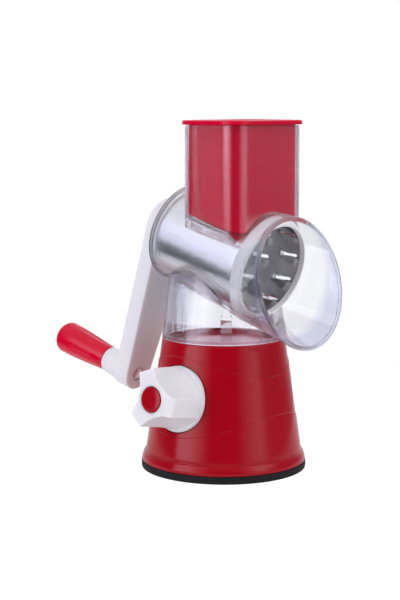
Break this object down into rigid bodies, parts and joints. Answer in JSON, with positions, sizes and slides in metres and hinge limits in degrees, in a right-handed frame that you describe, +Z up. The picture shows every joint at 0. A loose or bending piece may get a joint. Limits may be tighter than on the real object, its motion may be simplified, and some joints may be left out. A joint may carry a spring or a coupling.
{
  "type": "rotary cheese grater",
  "caption": "Hand-cranked table-top grater: slotted steel drum in a clear tilted barrel with feed chute and pusher, on a red conical base with a knob-locked suction foot.",
  "frame": {"origin": "centre of the suction foot's underside, on the table", "axes": "+Z up, the outlet mouth faces -Y, the crank is at the back on +Y, the suction knob is on -X"},
  "size_m": [0.1403, 0.2378, 0.2512],
  "materials": {
    "red_plastic": "glossy moulded red plastic",
    "white_plastic": "semi-gloss moulded white plastic",
    "clear_plastic": "clear moulded plastic with a faint lavender tint",
    "steel": "polished stainless steel",
    "zinc": "plain zinc-plated screw",
    "black_rubber": "matt black rubber",
    "dark_plastic": "dark grey moulded plastic"
  },
  "bodies": {
    "base": {"base_housing": "red_plastic", "base_chassis": "dark_plastic", "chassis_screw_1": "zinc", "chassis_screw_2": "zinc", "chassis_screw_3": "zinc", "suction_pad": "black_rubber"},
    "body": {"grater_body": "clear_plastic", "rear_bush": "white_plastic"},
    "crank": {"crank_arm": "white_plastic", "drive_shaft": "white_plastic", "crank_screw": "zinc", "grip_axle": "steel", "axle_clip": "steel"},
    "grip": {"grip": "red_plastic", "grip_end_cap": "red_plastic"},
    "drum": {"drum_shell": "steel", "drum_front_ring": "white_plastic", "drum_hub": "white_plastic"},
    "pusher": {"pusher": "red_plastic"},
    "knob": {"lock_knob": "white_plastic", "knob_shaft": "steel", "knob_screw": "zinc", "knob_cap": "red_plastic"},
    "stem": {"pull_stem": "white_plastic", "pad_centre": "black_rubber"}
  },
  "joints": [
    {"name": "body_twist", "type": "hinge", "parent": "base", "child": "body", "pos_m": [0, 0, 0.095], "axis": [0, 0, 1], "range_deg": [-28, 0]},
    {"name": "crank_turn", "type": "hinge", "parent": "body", "child": "crank", "pos_m": [0, 0, 0.1584], "axis": [0, -0.9659, -0.2588], "continuous": true},
    {"name": "drum_pull", "type": "slide", "parent": "crank", "child": "drum", "axis": [0, -0.9659, -0.2588], "range_m": [0, 0.1]},
    {"name": "grip_turn", "type": "hinge", "parent": "crank", "child": "grip", "pos_m": [-0.01145, 0.12629, 0.07346], "axis": [0, -0.9659, -0.2588], "continuous": true},
    {"name": "pusher_lift", "type": "slide", "parent": "body", "child": "pusher", "axis": [0, 0, 1], "range_m": [0, 0.06]},
    {"name": "knob_turn", "type": "hinge", "parent": "base", "child": "knob", "pos_m": [0, 0, 0.0496], "axis": [0.9912, 0, -0.1323], "range_deg": [0, 90]},
    {"name": "stem_lift", "type": "slide", "parent": "base", "child": "stem", "axis": [0, 0, 1], "range_m": [0, 0.004]}
  ],
  "couplings": [
    {"joint": "knob_turn", "follows": "stem_lift", "rad_per_m": 392.7}
  ]
}
